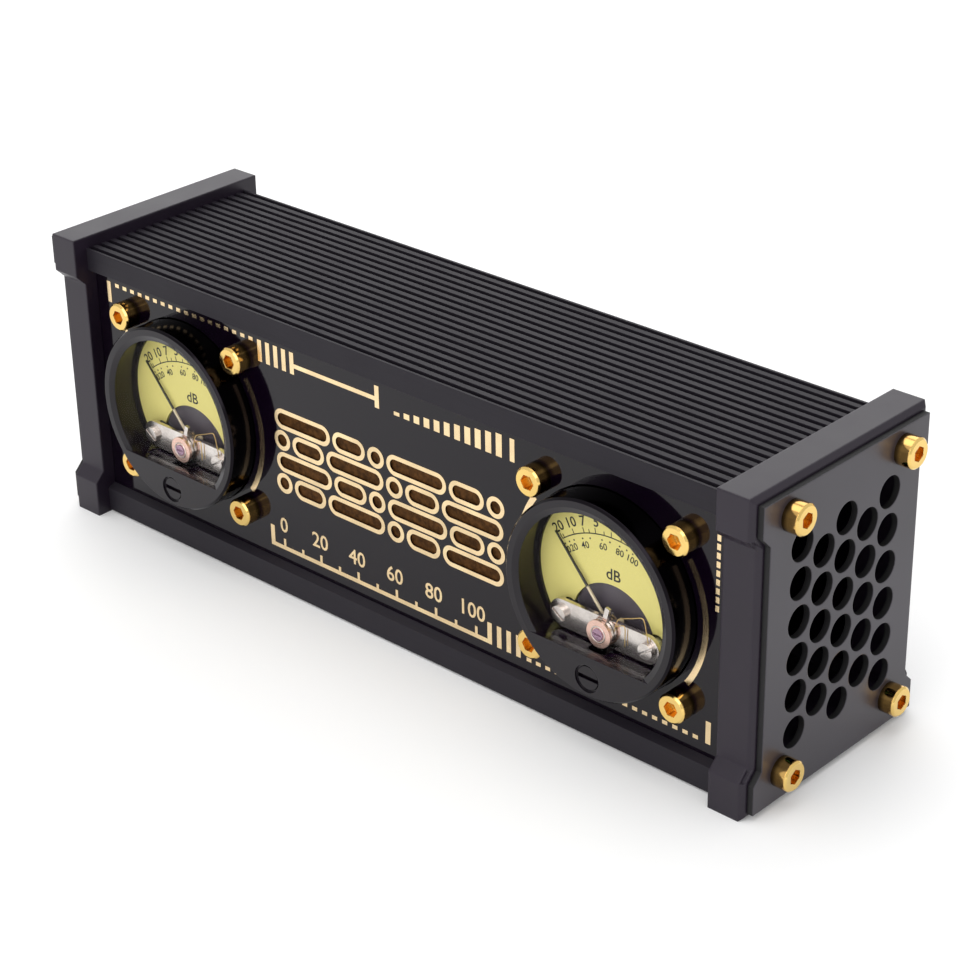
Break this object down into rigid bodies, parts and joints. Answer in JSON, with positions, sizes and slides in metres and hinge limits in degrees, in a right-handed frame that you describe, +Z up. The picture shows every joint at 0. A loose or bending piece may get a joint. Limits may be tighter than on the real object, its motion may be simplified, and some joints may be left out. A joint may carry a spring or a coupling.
{
  "type": "analog vu meter",
  "caption": "Desktop stereo level meter: two round moving-coil meters with needles and zero screws behind a dark panel, in a ribbed case with perforated end plates.",
  "frame": {"origin": "centre of the case's footprint, on the plane its feet stand on", "axes": "+X along the case to the right as seen from the front, +Y to the rear, +Z up; the meters look along -Y"},
  "size_m": [0.1764, 0.0492, 0.0587],
  "materials": {
    "anodised_black": "black anodised, satin",
    "frame_black": "fine matt",
    "plate_black": "semi-matt lacquer",
    "gold_screw": "polished gold plating",
    "panel_gloss": "glossy black lacquer",
    "gold_track": "plated gold, satin",
    "brass_part": "turned",
    "board_green": "green lacquer",
    "steel_part": "plated",
    "component_dark": "moulded",
    "knob_black": "fine matt",
    "meter_black": "glossy moulded",
    "clear_window": "clear polished",
    "dial_yellow": "printed matt",
    "iron_dark": "dark",
    "bridge_silver": "polished",
    "hub_copper": "copper plated",
    "coil_copper": "enamelled wire",
    "needle_dark": "dark lacquer",
    "shade_dark": "fine matt"
  },
  "bodies": {
    "case": {"top_extrusion": "anodised_black", "bottom_extrusion": "anodised_black", "left_end_frame": "frame_black", "right_end_frame": "frame_black", "left_end_plate": "plate_black", "right_end_plate": "plate_black", "left_end_screws": "gold_screw", "right_end_screws": "gold_screw", "front_panel": "panel_gloss", "panel_tracks": "gold_track", "rear_panel": "panel_gloss", "meter_screws": "gold_screw", "standoffs": "brass_part", "driver_board": "board_green", "board_screws": "steel_part", "board_parts": "component_dark", "power_inlet": "steel_part", "audio_socket": "component_dark", "level_pot": "steel_part", "button_switch": "component_dark", "left_bezel": "meter_black", "right_bezel": "meter_black", "left_window": "clear_window", "right_window": "clear_window", "left_dial": "dial_yellow", "right_dial": "dial_yellow", "left_shade": "shade_dark", "right_shade": "shade_dark", "left_can": "meter_black", "right_can": "meter_black", "left_movement_frame": "steel_part", "right_movement_frame": "steel_part", "left_yoke": "iron_dark", "right_yoke": "iron_dark", "left_magnet_core": "steel_part", "right_magnet_core": "steel_part", "left_bridge": "bridge_silver", "right_bridge": "bridge_silver", "left_bridge_screws": "bridge_silver", "right_bridge_screws": "bridge_silver", "left_jewel_screw": "hub_copper", "right_jewel_screw": "hub_copper", "left_terminals": "brass_part", "right_terminals": "brass_part"},
    "left_pointer": {"left_needle": "needle_dark", "left_coil": "coil_copper"},
    "right_pointer": {"right_needle": "needle_dark", "right_coil": "coil_copper"},
    "left_zero_adjuster": {"left_zero_screw": "meter_black"},
    "right_zero_adjuster": {"right_zero_screw": "meter_black"},
    "left_zero_fork": {"left_zero_lever": "bridge_silver", "left_hairspring": "gold_track"},
    "right_zero_fork": {"right_zero_lever": "bridge_silver", "right_hairspring": "gold_track"},
    "knob": {"level_knob": "knob_black"},
    "button": {"push_button": "knob_black"}
  },
  "joints": [
    {"name": "left_needle_swing", "type": "hinge", "parent": "case", "child": "left_pointer", "pos_m": [-0.05205, -0.0184, 0.02223], "axis": [0, 1, 0], "range_deg": [-2, 84], "stiffness_Nm_per_rad": 0.0002},
    {"name": "left_zero_turn", "type": "hinge", "parent": "case", "child": "left_zero_adjuster", "pos_m": [-0.05205, -0.023, 0.01493], "axis": [0, 1, 0], "range_deg": [-45, 45]},
    {"name": "left_zero_follow", "type": "hinge", "parent": "case", "child": "left_zero_fork", "pos_m": [-0.05205, -0.0206, 0.02223], "axis": [0, 1, 0], "range_deg": [-5.2, 5.2]},
    {"name": "right_needle_swing", "type": "hinge", "parent": "case", "child": "right_pointer", "pos_m": [0.05205, -0.0184, 0.02223], "axis": [0, 1, 0], "range_deg": [-2, 84], "stiffness_Nm_per_rad": 0.0002},
    {"name": "right_zero_turn", "type": "hinge", "parent": "case", "child": "right_zero_adjuster", "pos_m": [0.05205, -0.023, 0.01493], "axis": [0, 1, 0], "range_deg": [-45, 45]},
    {"name": "right_zero_follow", "type": "hinge", "parent": "case", "child": "right_zero_fork", "pos_m": [0.05205, -0.0206, 0.02223], "axis": [0, 1, 0], "range_deg": [-5.2, 5.2]},
    {"name": "level_knob_turn", "type": "hinge", "parent": "case", "child": "knob", "pos_m": [-0.014, 0.01876, 0.0296], "axis": [0, 1, 0], "range_deg": [-150, 150]},
    {"name": "button_press", "type": "slide", "parent": "case", "child": "button", "axis": [0, -1, 0], "range_m": [0, 0.001], "stiffness_N_per_m": 400, "springref_m": -0.0005}
  ],
  "couplings": [
    {"joint": "left_zero_follow", "follows": "left_zero_turn", "ratio": -0.114},
    {"joint": "right_zero_follow", "follows": "right_zero_turn", "ratio": -0.114}
  ]
}
